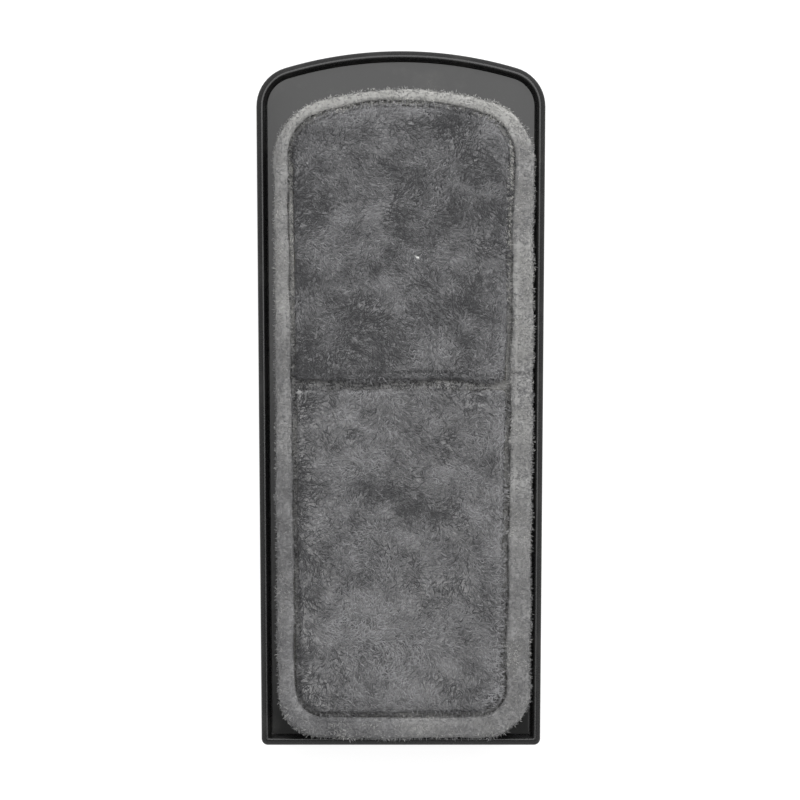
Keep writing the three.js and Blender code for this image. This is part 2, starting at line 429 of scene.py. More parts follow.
def smooth_rise(value, low, high):
    """A smooth rise from 0 at low to 1 at high."""
    share = min(max((value - low) / (high - low), 0.0), 1.0)
    return share * share * (3 - 2 * share)


def felt(name, wool, chalk_share, end_chalk_and_light=0.0):
    """Matted wool felt, with chalk in patches, and, times its last argument, the chalk and painted light that
    the strip has along it.
    """
    look = Look.new(name)
    place = look.place()
    share, height = felt_pattern(look, place)
    patch = look.noise(place, 11, 3, 0.55).between(0.36, 0.7)
    blotch = look.noise(place, 4.5, 2, 0.5).between(0.3, 0.75)
    base = look.mix((share + patch * 0.35 + blotch * 0.3 - 0.22).clamp(), wool.dark, wool.pale)
    chalk = patch * chalk_share + share * chalk_share
    if end_chalk_and_light:
        # Adds the strip's share along it, partly chalk dust and partly painted light towards the arched end.
        chalk = chalk + chalk_and_light_along(look.axis(place, "X"), look.axis(place, "Y"), Value.between) * end_chalk_and_light
    return look.surface(
        Base_Color=look.mix(chalk.clamp(), base, wool.chalky_and_lit),
        Roughness=0.95,
        Normal=look.bump(height, 0.12 * MM, 0.8),
        Sheen_Weight=0.15,
        Sheen_Roughness=0.5,
        Specular_IOR_Level=0.15,
    )


def fibre(name, dark, pale):
    """Loose wool fibres, each with its own shade, which its mesh holds."""
    look = Look.new(name)
    shade = look.node("ShaderNodeAttribute", {"attribute_name": SHADE}, {}, "Fac")
    return look.surface(
        Base_Color=look.mix(shade, dark, pale),
        Roughness=0.9,
        Sheen_Weight=0.1,
        Specular_IOR_Level=0.15,
    )


def set_adhesive():
    """Set contact adhesive, cloudy, and grey with felt dust."""
    look = Look.new("set_adhesive")
    cloud = look.noise(look.place(), 2, 3)
    return look.surface(
        Base_Color=look.mix(cloud, (0.034, 0.032, 0.027), (0.065, 0.062, 0.053)),
        Roughness=cloud * 0.3 + 0.45,
    )


# ---------------------------------------------------------------- the moulded back and the plate
FLUTE_RADIUS = 1.15 * MM
FLUTE_DEPTH = 0.45 * MM
FLUTE_PITCH = 3.6 * MM
FLUTE_MIDDLE = -4 * MM
FLUTE_COUNT = 15
FLUTE_TOP = 15.6 * MM
FLUTE_FADE = 0.9 * MM
WALL = 2.2 * MM
FLOOR = 2.2 * MM
PLATE_THICK = 2 * MM
RECESS_SIZE = (30 * MM, 84 * MM)
RECESS_CORNER = 4 * MM
RECESS_DEPTH = 0.4 * MM
PEGS = [(x * MM, y * MM) for x in (-15, 15) for y in (-46, 0, 42)]


# The rim's section from its outer side to its inner side: (share of its width, millimetres below its crest).
RIM_PROFILE = [
    (0.0, 1.0), (0.008, 0.83), (0.035, 0.7), (0.08, 0.61), (0.25, 0.38), (0.4, 0.17), (0.46, 0.085),
    (0.51, 0.03), (0.55, 0.006), (0.6, 0.0), (0.69, 0.002), (0.74, 0.02), (0.78, 0.08), (0.83, 0.2),
    (0.9, 0.42), (0.96, 0.66), (0.99, 0.9), (1.0, 1.1), (1.01, 1.25), (1.05, 1.4), (1.12, 1.5),
]


def flute_depth(y, z):
    """How deep the grip flutes are at a place on the side."""
    nearest = round((y - FLUTE_MIDDLE) / FLUTE_PITCH)
    if abs(nearest) > FLUTE_COUNT // 2:
        return 0.0
    off = y - FLUTE_MIDDLE - nearest * FLUTE_PITCH
    chord = FLUTE_RADIUS**2 - off**2
    depth = math.sqrt(chord) - (FLUTE_RADIUS - FLUTE_DEPTH) if chord > 0 else 0.0
    left = min(max((FLUTE_TOP - z) / FLUTE_FADE, 0.0), 1.0)
    return max(depth, 0.0) * math.sqrt(1 - (1 - left) ** 2)


def body_ring(shell, z, round_in):
    """A ring round the body at height z, moved in by round_in and cut by the flutes."""
    under = SHELL_HIGH.z - shell.rim_height
    wall = SHELL.inset(shell.body_inset + max(under - z, 0) * math.tan(shell.draft))._replace(foot=4 * MM)
    ring = []
    for x, y in wall.inset(round_in).points(side=380):
        limit = wall.half_at(y) - flute_depth(y, z)
        if abs(x) > limit and flute_depth(y, z) > 0:
            x = math.copysign(limit, x)
        ring.append((x, y, z))
    return ring


def outer_rings(shell):
    """Rings up the outside of the back, from the flat of the back to the rim's crest and down inside it."""
    low = SHELL_LOW.z
    under = SHELL_HIGH.z - shell.rim_height
    rings = [
        body_ring(shell, low + shell.back_round * (1 - c), shell.back_round * (1 - s))
        for s, c in quarter(8)
    ]
    levels = [6, 9, 12, 14.2, 14.8, 15.1, 15.35, 15.5, 15.6]
    rings += [body_ring(shell, low + level * MM, 0) for level in levels]
    rings.append(body_ring(shell, under, 0))
    return rings


def rim_rings(shell):
    """Rings over the rim: under its overhang, up its side, over its crest and down to the ledge."""
    under, crest = SHELL_HIGH.z - shell.rim_height, SHELL_HIGH.z
    ledge = PLATE_HIGH.z - PLATE_THICK

    def ring(inset, z):
        return raise_ring(SHELL.inset(inset).points(side=380), z)

    lower = 0.6 * MM
    rings = [ring(lower * (1 - s), under + lower * (1 - c)) for s, c in quarter(4)]
    rings += [ring(inset * shell.rim_width, crest - drop * MM) for inset, drop in RIM_PROFILE]
    rings.append(ring(RIM_PROFILE[-1][0] * shell.rim_width, ledge))
    return rings


def hollow_rings(shell):
    """Rings from the ledge that carries the plate down the inside to the floor."""
    ledge = PLATE_HIGH.z - PLATE_THICK
    floor = SHELL_LOW.z + FLOOR
    top = SHELL.inset(shell.body_inset + WALL)._replace(foot=2.4 * MM)
    bottom = top.inset((ledge - floor) * math.tan(shell.draft))
    return [raise_ring(top.points(side=380), ledge), raise_ring(bottom.points(side=380), floor)]


def recess_points():
    """The outline of the shallow recess in the back."""
    x, y = (size / 2 - RECESS_CORNER for size in RECESS_SIZE)
    corners = [(x, y, 0), (-x, y, 0.5), (-x, -y, 1), (x, -y, 1.5)]
    points = []
    for cx, cy, start in corners:
        points += arc(cx, cy, RECESS_CORNER, start * math.pi, (start + 0.5) * math.pi, 12)
        points.append((cx + RECESS_CORNER * math.cos((start + 0.5) * math.pi),
                       cy + RECESS_CORNER * math.sin((start + 0.5) * math.pi)))
    return points


def add_ribs(bm, shell):
    """The stiffening ribs and the bosses that take the plate's pegs, sunk a little into the floor."""
    ledge = PLATE_HIGH.z - PLATE_THICK
    base = SHELL_LOW.z + FLOOR - 0.1 * MM
    top = ledge - 6 * MM
    clear = shell.body_inset + WALL + 1 * MM
    rows = [y * MM for y in (-58, -34, -12, 10, 32, 54)]
    long_rib = (1.4 * MM, SHELL.top - SHELL.bottom - 2 * clear, 0.0)
    across = [(2 * (SHELL.half_at(y) - clear), 1.4 * MM, y) for y in rows]
    for x_size, y_size, y in [long_rib, *across]:
        size = Matrix.Diagonal((x_size, y_size, top - base, 1))
        bmesh.ops.create_cube(bm, size=1, matrix=Matrix.Translation((0, y, (top + base) / 2)) @ size)
    boss, bore = 3 * MM, 1.6 * MM
    boss_top, bore_end = ledge - 0.3 * MM, base + 7 * MM
    section = [(boss, base), (boss, boss_top), (bore, boss_top), (bore, bore_end)]
    for x, y in PEGS:
        rings = [raise_ring(arc(x, y, radius, 0, 2 * math.pi, 32), z) for radius, z in section]
        loops = loft(bm, rings)
        for loop in (loops[0], loops[-1]):
            bmesh.ops.holes_fill(bm, edges=loop)


def build_back_shell(shell):
    """The hollow moulded back, with its rim, flutes, recess, ribs and bosses."""
    bm = bmesh.new()
    loops = loft(bm, outer_rings(shell) + rim_rings(shell) + hollow_rings(shell))
    bmesh.ops.holes_fill(bm, edges=loops[-1])
    recess = loft(bm, [raise_ring(recess_points(), SHELL_LOW.z), raise_ring(recess_points(), RECESS_DEPTH)])
    bmesh.ops.triangle_fill(bm, use_beauty=True, edges=loops[0] + recess[0])
    bmesh.ops.holes_fill(bm, edges=recess[1])
    add_ribs(bm, shell)
    plastic = moulded_plastic("shell_plastic", shell.plastic, shell.chalk, 0.27, 0.48, 0.02)
    settle(to_piece(bm, "back_shell_moulding", plastic), "shell_plastic", "back_shell")


def build_carrier_plate(shell):
    """The plate inside the rim, with its soft edge and its pegs."""
    bm = bmesh.new()
    top, edge = PLATE_HIGH.z, 0.14 * MM
    low = top - PLATE_THICK
    rings = [raise_ring(PLATE.inset(edge * (1 - s)).points(), low + edge * (1 - c)) for s, c in quarter(3)]
    rings += [raise_ring(PLATE.inset(edge * (1 - c)).points(), top - edge * (1 - s)) for s, c in quarter(3)]
    loops = loft(bm, rings)
    bmesh.ops.holes_fill(bm, edges=loops[0])
    bmesh.ops.holes_fill(bm, edges=loops[-1])
    for x, y in PEGS:
        length = low - PLATE_LOW.z + 0.5 * MM
        peg = Matrix.Translation((x, y, low + 0.5 * MM - length / 2))
        bmesh.ops.create_cone(
            bm, cap_ends=True, segments=32, radius1=1.1 * MM, radius2=1.3 * MM, depth=length, matrix=peg
        )
    plastic = moulded_plastic("plate_plastic", shell.plate, shell.chalk, 0.24, 0.41, 0.03)
    settle(to_piece(bm, "plate_with_pegs", plastic), "plate_plastic", "carrier_plate")


# ---------------------------------------------------------------- the felt
SHADE = "shade"
# Widths of the painted shade along a panel's left edge and of the painted highlight along its right edge.
LEFT_SHADE_WIDTH = 4 * MM
LIT_EDGE = 2.6 * MM
# Middle shades of the fibres, where 0 is the darker colour of their material and 1 is the paler one.
ARCHED_SHADE = 0.285
SQUARE_SHADE = 0.53
STRIP_SHADE = -0.085
GROOVE_SHADE = 0.2
# How much darker the painted shade makes a panel's left edge.
PAINTED_LEFT_SHADE = 0.42


def panel_tone(panel, place):
    """The middle shade of the fibres at a place on a panel: darker with painted shade in the crease and along
    the left edge, and paler with painted highlight along the right edge, at the arched end and on the square
    panel's edge at the slot."""
    spot = Vector(place)
    side = panel.half_at(spot.y)
    x = spot.x - panel.shift
    ragged = 0.6 * MM * noise.noise(spot / MM * 0.5)
    # Painted shade along the left edge.
    left = 1 - smooth_rise(x + side + ragged, 0.5 * MM, LEFT_SHADE_WIDTH)
    # Painted highlight along the right edge.
    right = smooth_rise(x - side + ragged, -LIT_EDGE, -0.4 * MM)
    if panel is ARCHED_PANEL:
        # Painted highlight along the arched end.
        reach = spot.y + x * x / (2 * panel.arch) + 3 * ragged
        end = smooth_rise(reach, panel.top - 4 * MM, panel.top - 0.5 * MM)
        lit = right * (1 - 0.6 * smooth_rise(spot.y, 15 * MM, 30 * MM))
        # The crease's share also paints shade into the crease.
        return ARCHED_SHADE - PAINTED_LEFT_SHADE * left + 0.45 * lit + 0.4 * end - 0.75 * crease_share(spot)
    # Painted highlight on the square panel's edge at the slot.
    slot_edge_highlight = smooth_rise(spot.y, panel.top - 1.1 * MM, panel.top - 0.6 * MM)
    return SQUARE_SHADE - PAINTED_LEFT_SHADE * left + 0.32 * right + 0.25 * slot_edge_highlight


CREASE_Y = 4.7 * MM
BUTT_Y = 4.3 * MM


def block_rings(outline, low, high, roll, drop):
    """Rings of a block whose top edge curves down by drop over the width roll."""
    chamfer = 0.2 * MM
    rings = [raise_ring(outline.inset(chamfer).points(), low), raise_ring(outline.points(), low + chamfer)]
    for s, c in quarter(8):
        rings.append(raise_ring(outline.inset(roll * (1 - c)).points(), high - drop * (1 - s)))
    return rings


def felt_block(name, outline, heights, edge, voxel, material):
    """A closed block of felt with an even grain. edge is the width and depth of its curved top edge."""
    bm = bmesh.new()
    loops = loft(bm, block_rings(outline, *heights, *edge))
    bmesh.ops.holes_fill(bm, edges=loops[0])
    bmesh.ops.holes_fill(bm, edges=loops[-1])
    return even_grain(to_piece(bm, name, material), voxel)


def even_grain(piece, voxel):
    """Remeshes a piece into small even faces."""
    remesh = piece.modifiers.new("grain", "REMESH")
    remesh.mode = "VOXEL"
    remesh.voxel_size = voxel
    remesh.use_smooth_shade = True
    bpy.context.view_layer.objects.active = piece
    bpy.ops.object.modifier_apply(modifier="grain")
    return piece


def roughen(piece, height, sideways=0.0, dents=()):
    """Moves the felt's surface in and out in lumps, wanders its outline, and presses in the dents."""
    mesh = piece.data
    moved = np.empty((len(mesh.vertices), 3))
    for i, vertex in enumerate(mesh.vertices):
        place = vertex.co / MM
        lump = noise.noise(place * 0.38) + 0.6 * noise.noise(place * 0.95) + 0.35 * noise.noise(place * 2.3)
        wave = 0.8 * noise.noise(place * 0.085)
        side = (noise.noise_vector(place * 0.12) + 0.45 * noise.noise_vector(place * 1.1)) * sideways
        side.z = 0
        moved[i] = vertex.co + vertex.normal * (height * (lump + wave)) + side
        moved[i][2] -= sum(dent(vertex.co) for dent in dents)
    mesh.vertices.foreach_set("co", moved.ravel())
    mesh.update()
    return piece


def crease_share(place):
    """How much of the crease's depth it has at a place."""
    along = place.x / (18 * MM)
    middle = CREASE_Y + 0.35 * MM * math.cos(along * 2.4) - 0.25 * MM
    strength = max(0.0, 1 - abs(along - 0.15) ** 3) * (0.75 + 0.5 * noise.noise(place / MM * 0.3))
    return strength * math.exp(-(((place.y - middle) / (0.3 * MM)) ** 2))


def crease(place):
    """A shallow fold across the arched panel, just above the cross slot."""
    return 0.55 * MM * crease_share(place)


def butt(place):
    """The narrow dip where the two ends of the strip meet."""
    if place.x < 0:
        return 0.0
    return 0.5 * MM * math.exp(-(((place.y - BUTT_Y) / (0.3 * MM)) ** 2))


def build_felt_plies(wool):
    """The two thick plies: the outer one shows at the bottom of the grooves."""
    # The ply gets the strip's chalk and painted light along it.
    material = felt("ply_felt", wool, 0.16, 0.8)
    for node in ("felt_ply_inner", "felt_ply_outer"):
        low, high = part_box(node)
        edge = (0.25 * MM, 0.12 * MM)
        ply = felt_block(f"{node}_block", PLY, (low.z, high.z), edge, 2 * wool.voxel, material)
        settle(roughen(ply, 0.3 * wool.lumps), "ply_felt", node)
    return ply


def build_border_strip(wool):
    """The strip of felt wound round the pad on edge."""
    outer, inner = PAD.points(side=160, arch=64), STRIP_INSIDE.points(side=160, arch=64)
    low, high = STRIP_LOW.z, STRIP_HIGH.z
    drop = 0.7 * MM

    def ring(share, z):
        pairs = zip(outer, inner)
        return [(a * (1 - share) + c * share, b * (1 - share) + d * share, z) for (a, b), (c, d) in pairs]

    profile = [(0, low), (0, low + 4 * MM), (0, high - 4 * MM)]
    profile += [(0.22 * (1 - c), high - drop * (1 - s)) for s, c in quarter(6)]
    profile += [(0.37, high + 0.04 * MM), (0.52, high + 0.06 * MM), (0.67, high + 0.04 * MM)]
    profile += [(0.82 + 0.18 * s, high - 0.7 * drop * (1 - c)) for s, c in quarter(5)]
    profile += [(1, low + 4 * MM), (1, low)]
    bm = bmesh.new()
    loft(bm, [ring(share, z) for share, z in profile], closed=True)
    # Chalk and painted light along the strip, paler towards the arched end.
    material = felt("strip_felt", wool, 0.06, 1.1)
    strip = even_grain(to_piece(bm, "border_strip_felt", material), 1.4 * wool.voxel)
    roughen(strip, wool.lumps, 0.35 * MM, [butt])
    settle(strip, "strip_felt", "felt_border_strip")
    return strip


def build_panels(wool):
    """The two panels that the eraser wipes with."""
    heights = (ARCHED_LOW.z, ARCHED_HIGH.z)
    edge = (wool.roll_off, heights[1] - heights[0] - 0.3 * MM)
    panels = []
    kinds = (("arched", ARCHED_PANEL, 0.03, [crease]), ("square", SQUARE_PANEL, 0.1, []))
    for end, outline, share, dents in kinds:
        material = felt(f"{end}_panel_felt", wool, share)
        panel = felt_block(f"{end}_panel_felt", outline, heights, edge, wool.voxel, material)
        roughen(panel, wool.lumps, 0.2 * MM, dents)
        settle(panel, "panel_felt", f"felt_panel_{end}")
        panels.append(panel)
    return panels


# ---------------------------------------------------------------- fibres
class Nap(NamedTuple):
    """One kind of loose fibre: its size, how much it bends, how far it stands up in the middle, and how far
    it hangs over an edge."""

    width: float
    shortest: float
    longest: float
    curl: float
    lift: float
    steps: int
    flat: float = 1.0
    sag: float = 3 * MM


WISP = Nap(
    width=0.23 * MM, shortest=0.5 * MM, longest=1.25 * MM, curl=0.7, lift=0.06 * MM, steps=2, flat=0.5
)
HAIR = Nap(width=0.12 * MM, shortest=0.7 * MM, longest=1.7 * MM, curl=0.9, lift=0.1 * MM, steps=3)
FUZZ = Nap(
    width=0.13 * MM,
    shortest=0.35 * MM,
    longest=0.68 * MM,
    curl=0.7,
    lift=0.08 * MM,
    steps=2,
    flat=0.7,
    sag=0.5 * MM,
)
WALL_FUZZ = Nap(width=0.11 * MM, shortest=0.25 * MM, longest=0.52 * MM, curl=0.8, lift=0, steps=2)
STRAND_SHAPES = 14


class Strand(NamedTuple):
    """The shape of a loose fibre, along X from the origin."""

    points: np.ndarray
    faces: list


def strand(nap, rng):
    """One closed, tapered, three-sided strand of this nap, bent sideways and a little upwards."""
    length = rng.uniform(nap.shortest, nap.longest)
    curl, lift = rng.uniform(-nap.curl, nap.curl), rng.uniform(0.2, 1.0) * nap.lift
    bm = bmesh.new()
    end_on = Matrix.Rotation(math.pi / 2, 4, "Y")
    bmesh.ops.create_circle(bm, cap_ends=True, segments=3, radius=nap.width / 2, matrix=end_on)
    tip = bm.faces[:]
    for step in range(nap.steps):
        grown = bmesh.ops.extrude_face_region(bm, geom=tip)["geom"]
        if step:
            bmesh.ops.delete(bm, geom=tip, context="FACES_ONLY")
        tip = [part for part in grown if isinstance(part, bmesh.types.BMFace)]
        verts = [part for part in grown if isinstance(part, bmesh.types.BMVert)]
        bmesh.ops.translate(bm, verts=verts, vec=(length / nap.steps, 0, 0))
    bmesh.ops.scale(bm, verts=verts, vec=(1, 0.3, 0.3))
    bmesh.ops.scale(bm, verts=bm.verts[:], vec=(1, 1, nap.flat))
    for vertex in bm.verts:
        along = vertex.co.x / length
        vertex.co.y += curl * length * (along**2 - 0.6 * along)
        vertex.co.z += lift * math.sin(along * math.pi)
    bmesh.ops.recalc_face_normals(bm, faces=bm.faces[:])
    bm.verts.index_update()
    made = Strand(np.array([v.co[:] for v in bm.verts]), [[v.index for v in f.verts] for f in bm.faces])
    bm.free()
    return made


def copies(name, strands, places, shades, material, cover=None):
    """One piece made of copies of the strands, each at its place and in its shade. cover, where given, is a
    function that lays a copy's points on a surface."""
    points, faces, tones = [], [], []
    count = 0
    for number, (place, shade) in enumerate(zip(places, shades)):
        shape = strands[number % len(strands)]
        copied = shape.points @ place[:3, :3].T + place[:3, 3]
        points.append(cover(copied) if cover else copied)
        faces += [[corner + count for corner in face] for face in shape.faces]
        tones += [shade] * len(copied)
        count += len(copied)
    mesh = bpy.data.meshes.new(name)
    mesh.from_pydata(np.concatenate(points), [], faces)
    mesh.attributes.new(SHADE, "FLOAT", "POINT").data.foreach_set("value", tones)
    mesh.materials.append(material)
    mesh.shade_smooth()
    piece = bpy.data.objects.new(name, mesh)
    bpy.context.scene.collection.objects.link(piece)
    return piece


def surface_tree(piece):
    """A search tree of a piece's faces."""
    bm = bmesh.new()
    bm.from_mesh(piece.data)
    tree = BVHTree.FromBMesh(bm)
    bm.free()
    return tree


def sample(piece, count, rng, keep):
    """count random (place, normal) pairs on a piece's faces, where keep(places, normals) is true."""
    mesh = piece.data
    areas = np.empty(len(mesh.polygons))
    centres = np.empty((len(mesh.polygons), 3))
    normals = np.empty((len(mesh.polygons), 3))
    mesh.polygons.foreach_get("area", areas)
    mesh.polygons.foreach_get("center", centres.ravel())
    mesh.polygons.foreach_get("normal", normals.ravel())
    weights = areas * keep(centres, normals)
    chosen = rng.choice(len(areas), count, p=weights / weights.sum())
    return centres[chosen] + rng.normal(0, 0.1 * MM, (count, 3)), normals[chosen]


def swirled(place):
    """The direction in which the panels' fibres lie at a place."""
    return 5 * noise.noise(Vector(place / MM) * 0.07)


def outwards(place):
    """The direction away from the pad's middle, square to its nearest edge."""
    x, y = place[0] - PAD.shift, place[1] - (PAD.top + PAD.bottom) / 2
    past_x = max(abs(x) - (PAD.half_top - PAD.shoulder), 0)
    past_y = max(abs(y) - ((PAD.top - PAD.bottom) / 2 - PAD.shoulder), 0)
    return math.atan2(math.copysign(past_y, y), math.copysign(past_x, x))


def lying(places, rng, heading, spread):
    """Places turned about Z to heading(place), give or take spread, and of random size."""
    for place in places:
        turn = Matrix.Rotation(heading(place) + rng.normal(0, spread), 4, "Z")
        yield np.array(Matrix.Translation(place) @ turn @ Matrix.Scale(rng.uniform(0.6, 1.3), 4))


def standing(places, normals, rng, lean):
    """Places turned to stand out of the surface, leaning over by up to lean, and of random size."""
    for place, normal in zip(places, normals):
        aim = Vector(normal) + Vector(rng.normal(0, lean, 3))
        turn = aim.to_track_quat("X", "Z").to_matrix().to_4x4()
        roll = Matrix.Rotation(rng.uniform(0, 2 * math.pi), 4, "X")
        yield np.array(Matrix.Translation(place) @ turn @ roll @ Matrix.Scale(rng.uniform(0.5, 1.3), 4))


def shades_at(places, rng, middle, patchy, spread):
    """A shade for each place: patchy, and random from one fibre to the next."""
    shades = []
    for place in places:
        spot = Vector(place / MM)
        patch = noise.noise(spot * 0.11) + noise.noise(spot * 0.3)
        shades.append(min(max(middle(place) + patchy * patch + rng.normal(0, spread), 0.0), 1.0))
    return shades


def laid_on(tree, high, sag):
    """A function that drops a fibre's points on a surface, each as far above it as it was above z = 0. A
    fibre that passes the surface's edge hangs over it, no more than sag below its highest point."""

    def cover(points):
        levels = []
        for x, y in points[:, :2]:
            above = Vector((x, y, high + 10 * MM))
            hit = tree.ray_cast(above, Vector((0, 0, -1)))[0] or tree.find_nearest(Vector((x, y, high)))[0]
            levels.append(hit.z)
        points[:, 2] += np.maximum(levels, max(levels) - sag)
        return points

    return cover


def facing_up(centres, normals):
    """True on faces that look up."""
    return normals[:, 2] > 0.3


def thin(place):
    """The depth of a nap that is one fibre thick."""
    return 0.02 * MM


def lay_nap(
    name, ground, nap, count, seed, heading, spread, middle, shading, material, keep=facing_up, pile=thin
):
    """A piece of loose fibres that lie on the felt piece called ground. shading is how patchy their shades
    are, and how random. pile(place) is how deep the fibres are heaped."""
    rng = np.random.default_rng(seed)
    strands = [strand(nap, rng) for _ in range(STRAND_SHAPES)]
    places, _ = sample(ground, count, rng, keep)
    shades = shades_at(places, rng, middle, *shading)
    cover = laid_on(surface_tree(ground), places[:, 2].max(), nap.sag)
    places[:, 2] = [rng.uniform(0.5, 1) * pile(place) for place in places]
    return copies(name, strands, lying(places, rng, heading, spread), shades, material, cover)


def build_panel_fibres(wool, panel, seed, outline):
    """The nap of a panel: flat matted wisps, and thinner curly hairs over them."""

    def tone(place):
        return panel_tone(outline, place)

    shading = (0.6, 0.25)
    for number, (kind, nap, count) in enumerate((("wisps", WISP, wool.wisps), ("hairs", HAIR, wool.hairs))):
        name = f"{panel.name}_{kind}"
        material = fibre(name, wool.dark, wool.pale)
        draw = 10 * seed + number
        piece = lay_nap(name, panel, nap, count, draw, swirled, 0.7, tone, shading, material)
        settle(piece, "panel_felt")


INNER_FRINGE = 0.9 * MM


def build_strip_fibres(wool, strip):
    """The fuzz on the border strip: on its top, hairs that lie outwards, or inwards along its inner edge, and
    short ones on its sides."""
    material = fibre("strip_fuzz", wool.soft, wool.chalky_and_lit)
    shading = (0.27, 0.24)
    inner = np.array(STRIP_INSIDE.points(side=300))

    def tone(place):
        # Partly chalk dust and partly painted light, paler towards the arched end and on the right.
        return STRIP_SHADE + chalk_and_light_along(place[0] / MM, place[1] / MM, smooth_rise)

    def over_edges(place):
        near_inner = np.hypot(*(inner - place[:2]).T).min() < INNER_FRINGE
        return outwards(place) + (math.pi if near_inner else 0)

    top = lay_nap("strip_fuzz", strip, FUZZ, wool.fuzz, 31, over_edges, 0.9, tone, shading, material)
    settle(top, "strip_felt")

    def upright(centres, normals):
        return (np.abs(normals[:, 2]) < 0.5) * (centres[:, 2] > STRIP_LOW.z + 0.5 * MM)

    rng = np.random.default_rng(32)
    strands = [strand(WALL_FUZZ, rng) for _ in range(STRAND_SHAPES)]
    places, normals = sample(strip, wool.wall_fuzz, rng, upright)
    shades = shades_at(places, rng, tone, *shading)
    sides = copies("strip_wall_fuzz", strands, standing(places, normals, rng, 0.5), shades, material)
    settle(sides, "strip_felt")


def in_groove(centres, normals):
    """True on faces of the outer ply that no panel covers."""
    covered = np.zeros(len(centres), dtype=bool)
    for panel in (ARCHED_PANEL, SQUARE_PANEL):
        x = np.abs(centres[:, 0] - panel.shift)
        y = centres[:, 1]
        covered |= (x < panel.half_at(y) - 0.3 * MM) & (y > panel.bottom) & (y < panel.top - 3 * MM)
    return facing_up(centres, normals) & ~covered & (centres[:, 2] > PLY_HIGH.z - 1 * MM)


SLOT_MIDDLE = (SQUARE_HIGH.y + ARCHED_LOW.y) / 2 / MM


def build_groove_hairs(wool, ply):
    """Short hairs in the grooves between the panels and the strip. They are paler towards the arched end,
    partly chalk and partly painted light, and deeper there, and darker in the cross slot, which is painted
    shade."""
    material = fibre("groove_hairs", wool.dark, wool.chalky_and_lit)

    def tone(place):
        x, y = place[:2] / MM
        right = smooth_rise(x, -2, 2)
        # Where the cross slot gets painted shade.
        slot_shade = (1 - smooth_rise(abs(x), 14, 17)) * (1 - smooth_rise(abs(y - SLOT_MIDDLE), 1.6, 2.6))
        foot = 1 - smooth_rise(y, -58, -52)
        # Paler towards the arched end, partly chalk and partly painted light; a little paler on the right and
        # at the flat end; darker in the cross slot, painted shade.
        return GROOVE_SHADE + 0.62 * smooth_rise(y, 5, 35) + 0.08 * right + 0.08 * foot - 0.3 * slot_shade

    def heap(place):
        x, y = place[:2] / MM
        right = smooth_rise(x, -2, 2) * smooth_rise(y, 5, 20)
        return (0.1 + max(0.95 * smooth_rise(y, 38, 51), 1.05 * right)) * MM

    count, shading = wool.groove_hairs, (0.3, 0.15)
    piece = lay_nap(
        "groove_hairs", ply, FUZZ, count, 51, swirled, 1.2, tone, shading, material, in_groove, heap
    )
    settle(piece, "ply_felt")


def build_lint(wool):
    """A white fleck of lint on the arched panel, and a pale tuft at the corner of the square one."""
    for name, place, size, count, colour in (
        ("white_lint", (3.05, 25.9, ARCHED_HIGH.z / MM + 0.12), (0.3, 0.19, 0.12), 4, (0.8, 0.8, 0.78)),
        ("corner_tuft", (-18.7, 1.0, SQUARE_HIGH.z / MM - 0.1), (0.38, 0.32, 0.12), 40, (0.36, 0.36, 0.36)),
    ):
        rng = np.random.default_rng(5)
        bm = bmesh.new()
        bmesh.ops.create_icosphere(bm, subdivisions=3, radius=1)
        for vertex in bm.verts:
            vertex.co *= 0.8 + 0.35 * noise.noise(vertex.co * 2.1)
            vertex.co = Vector(place) * MM + vertex.co * Vector(size) * MM
        look = Look.new(name)
        shade = look.mix(look.noise(look.place(), 0.15, 2), [0.8 * c for c in colour], colour)
        wad = look.surface(Base_Color=shade, Roughness=0.95, Specular_IOR_Level=0.1)
        settle(to_piece(bm, name, wad), "panel_felt")
        spots = np.array(place) * MM + rng.normal(0, 0.5, (count, 3)) * np.array(size) * MM
        strands = [strand(FUZZ, rng) for _ in range(STRAND_SHAPES)]
        turned = lying(spots, rng, lambda spot: rng.uniform(0, 2 * math.pi), 0.5)
        material = fibre(f"{name}_hairs", wool.pale, colour)
        settle(copies(f"{name}_hairs", strands, turned, [0.8] * count, material), "panel_felt")


# ---------------------------------------------------------------- the stage
VIEW_SHARE = 0.8684
VIEW_SHIFT = (-0.17 * MM, -0.38 * MM)
SENSOR = 36.0


def area_light(name, place, size, power):
    """A soft rectangular light that looks at the eraser."""
    data = bpy.data.lights.new(name, "AREA")
    data.shape = "RECTANGLE"
    data.size, data.size_y = size
    data.energy = power
    light = bpy.data.objects.new(name, data)
    light.location = place
    light.rotation_euler = (-Vector(place)).to_track_quat("-Z", "Y").to_euler()
    light.visible_camera = False
    bpy.context.scene.collection.objects.link(light)


def build_floor():
    """A plain white floor, lit from below as a light table is, so that its shadows stay faint."""
    bm = bmesh.new()
    bmesh.ops.create_grid(bm, x_segments=4, y_segments=4, size=3.0)
    look = Look.new("floor")
    cloud = look.noise(look.place(), 300, 2)
    shade = look.mix(cloud, (0.26, 0.26, 0.26), (0.3, 0.3, 0.3))
    paper = look.surface(
        Base_Color=shade,
        Roughness=0.9,
        Specular_IOR_Level=0.0,
        Emission_Color=(1, 1, 1, 1),
        Emission_Strength=0.87,
    )
    to_piece(bm, "floor", paper)


def build_world():
    """An even, dim studio dome, a little brighter at the horizon than overhead."""
    world = bpy.data.worlds.new("studio")
    bpy.context.scene.world = world
    look = Look(world)
    direction = look.node("ShaderNodeTexCoord", {}, {}, "Generated")
    height = look.node("ShaderNodeSeparateXYZ", {}, {"Vector": direction}, "Z")
    colour = look.mix(height.clamp(), (0.42, 0.42, 0.42), (0.3, 0.3, 0.3))
    background = look.node("ShaderNodeBackground", {}, {"Color": colour, "Strength": 1.0})
    look.node("ShaderNodeOutputWorld", {}, {"Surface": background}, None)


